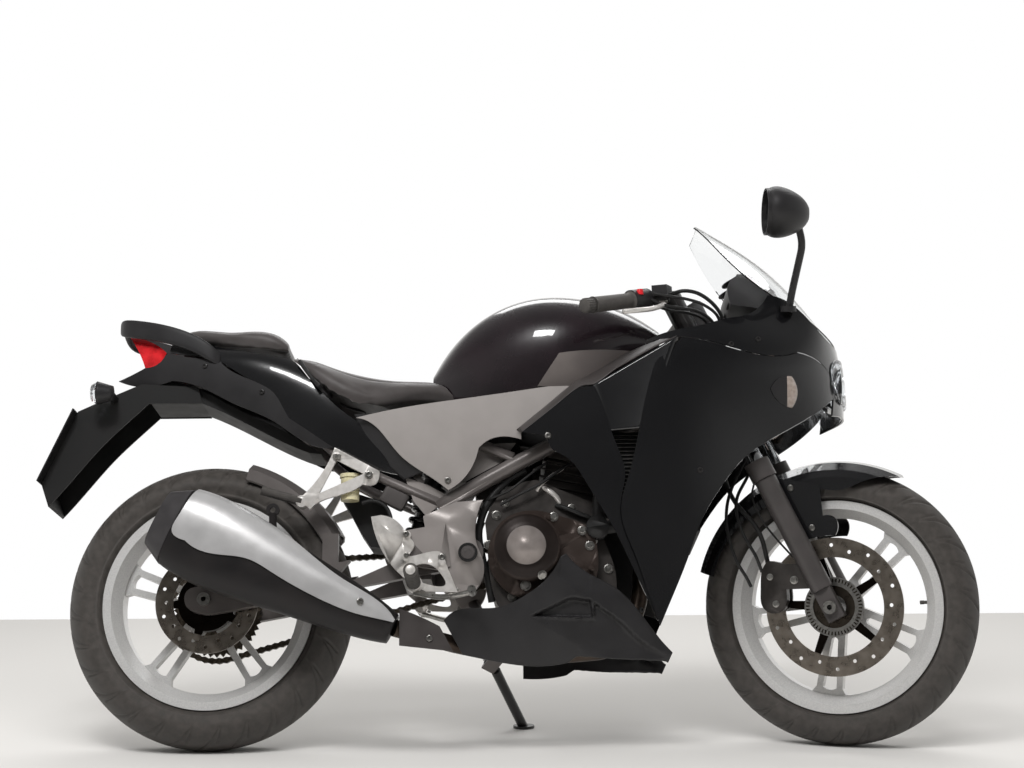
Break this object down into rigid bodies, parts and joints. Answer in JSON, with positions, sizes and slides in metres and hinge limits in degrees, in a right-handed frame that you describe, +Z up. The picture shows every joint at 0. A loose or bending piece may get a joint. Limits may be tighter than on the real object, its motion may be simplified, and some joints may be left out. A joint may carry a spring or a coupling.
{
  "type": "sport motorcycle",
  "caption": "Fully faired light sport motorcycle leaning on its side stand, with steered fork, turning wheels, folding stand and hinged filler cap",
  "frame": {"origin": "middle of the bounding box on the floor", "axes": "+X forward, +Y to the rider's left, +Z up; the machine leans towards +Y on its side stand and its steering rests turned to the right"},
  "size_m": [2.022, 0.834, 1.2009],
  "materials": {
    "frame": "gloss black paint",
    "swingarm": "gloss black paint",
    "rear_axle": "plated",
    "rear_shock": "red spring, black body",
    "rear_caliper": "satin",
    "drive_chain": "oiled",
    "crankcase": "cast alloy, painted dark",
    "cylinder": "cast alloy, painted dark",
    "engine_covers": "satin black paint",
    "radiator": "black painted core",
    "airbox": "moulded",
    "exhaust_pipe": "heat stained",
    "muffler": "heat proof black",
    "muffler_cap": "satin dark grey",
    "muffler_cover": "satin silver",
    "fuel_tank": "gloss black paint",
    "tank_covers": "moulded",
    "rider_seat": "grained vinyl",
    "pillion_seat": "grained vinyl",
    "tail_cowls": "gloss black",
    "tail_lower": "moulded",
    "tail_light": "red lens",
    "grab_rail": "satin silver",
    "rear_mudguard": "moulded",
    "number_plate": "blank plate",
    "rear_indicators": "stalk with a clear lens",
    "side_panels": "gloss black",
    "side_cowls": "gloss black",
    "upper_cowl": "gloss black",
    "headlight": "clear lens",
    "air_scoops": "moulded",
    "belly_pan": "gloss black",
    "windscreen": "smoked",
    "instrument_panel": "moulded",
    "mirrors": "moulded",
    "mirror_glass": "silvered",
    "front_indicators": "clear lens",
    "rider_steps": "satin silver",
    "foot_levers": "plated",
    "pillion_steps": "satin silver",
    "brake_fluid_pot": "translucent",
    "front_axle": "plated",
    "fork_tubes": "hard chrome",
    "fork_sliders": "gloss black",
    "fork_yokes": "satin black",
    "handlebars": "satin black bars, rubber grips",
    "bar_controls": "moulded",
    "front_fender": "gloss black",
    "front_brake": "satin",
    "front_tyre": "matt",
    "front_rim": "satin silver paint",
    "front_disc": "ground steel",
    "rear_tyre": "matt",
    "rear_rim": "satin silver paint",
    "rear_disc": "ground steel",
    "rear_sprocket": "oiled",
    "side_stand": "gloss black paint",
    "filler_cap": "satin silver"
  },
  "bodies": {
    "chassis": {"frame": "frame", "swingarm": "swingarm", "rear_axle": "rear_axle", "rear_shock": "rear_shock", "rear_caliper": "rear_caliper", "drive_chain": "drive_chain", "crankcase": "crankcase", "cylinder": "cylinder", "engine_covers": "engine_covers", "radiator": "radiator", "airbox": "airbox", "exhaust_pipe": "exhaust_pipe", "muffler": "muffler", "muffler_cap": "muffler_cap", "muffler_cover": "muffler_cover", "fuel_tank": "fuel_tank", "tank_covers": "tank_covers", "rider_seat": "rider_seat", "pillion_seat": "pillion_seat", "tail_cowls": "tail_cowls", "tail_lower": "tail_lower", "tail_light": "tail_light", "grab_rail": "grab_rail", "rear_mudguard": "rear_mudguard", "number_plate": "number_plate", "rear_indicators": "rear_indicators", "side_panels": "side_panels", "side_cowls": "side_cowls", "upper_cowl": "upper_cowl", "headlight": "headlight", "air_scoops": "air_scoops", "belly_pan": "belly_pan", "windscreen": "windscreen", "instrument_panel": "instrument_panel", "mirrors": "mirrors", "mirror_glass": "mirror_glass", "front_indicators": "front_indicators", "rider_steps": "rider_steps", "foot_levers": "foot_levers", "pillion_steps": "pillion_steps", "brake_fluid_pot": "brake_fluid_pot"},
    "steering": {"front_axle": "front_axle", "fork_tubes": "fork_tubes", "fork_sliders": "fork_sliders", "fork_yokes": "fork_yokes", "handlebars": "handlebars", "bar_controls": "bar_controls", "front_fender": "front_fender", "front_brake": "front_brake"},
    "front_wheel": {"front_tyre": "front_tyre", "front_rim": "front_rim", "front_disc": "front_disc"},
    "rear_wheel": {"rear_tyre": "rear_tyre", "rear_rim": "rear_rim", "rear_disc": "rear_disc", "rear_sprocket": "rear_sprocket"},
    "stand": {"side_stand": "side_stand"},
    "cap": {"filler_cap": "filler_cap"}
  },
  "joints": [
    {"name": "steering_turn", "type": "hinge", "parent": "chassis", "child": "steering", "pos_m": [0.49498, -0.03979, 0.68736], "axis": [-0.4257, 0.2366, 0.8734], "range_deg": [-11.65, 54.35]},
    {"name": "front_axle_turn", "type": "hinge", "parent": "steering", "child": "front_wheel", "pos_m": [0.72826, -0.16077, 0.2957], "axis": [0.3303, 0.9392, -0.0934], "continuous": true},
    {"name": "rear_axle_turn", "type": "hinge", "parent": "chassis", "child": "rear_wheel", "pos_m": [-0.63632, -0.1435, 0.29983], "axis": [0.0009, 0.9653, -0.261], "continuous": true},
    {"name": "side_stand_turn", "type": "hinge", "parent": "chassis", "child": "stand", "pos_m": [-0.02983, -0.06049, 0.16454], "axis": [0.1515, 0.7889, 0.5956], "range_deg": [0, 100]},
    {"name": "filler_cap_turn", "type": "hinge", "parent": "chassis", "child": "cap", "pos_m": [0.15836, 0.03383, 0.95846], "axis": [0.0009, 0.9653, -0.261], "range_deg": [0, 100]}
  ]
}
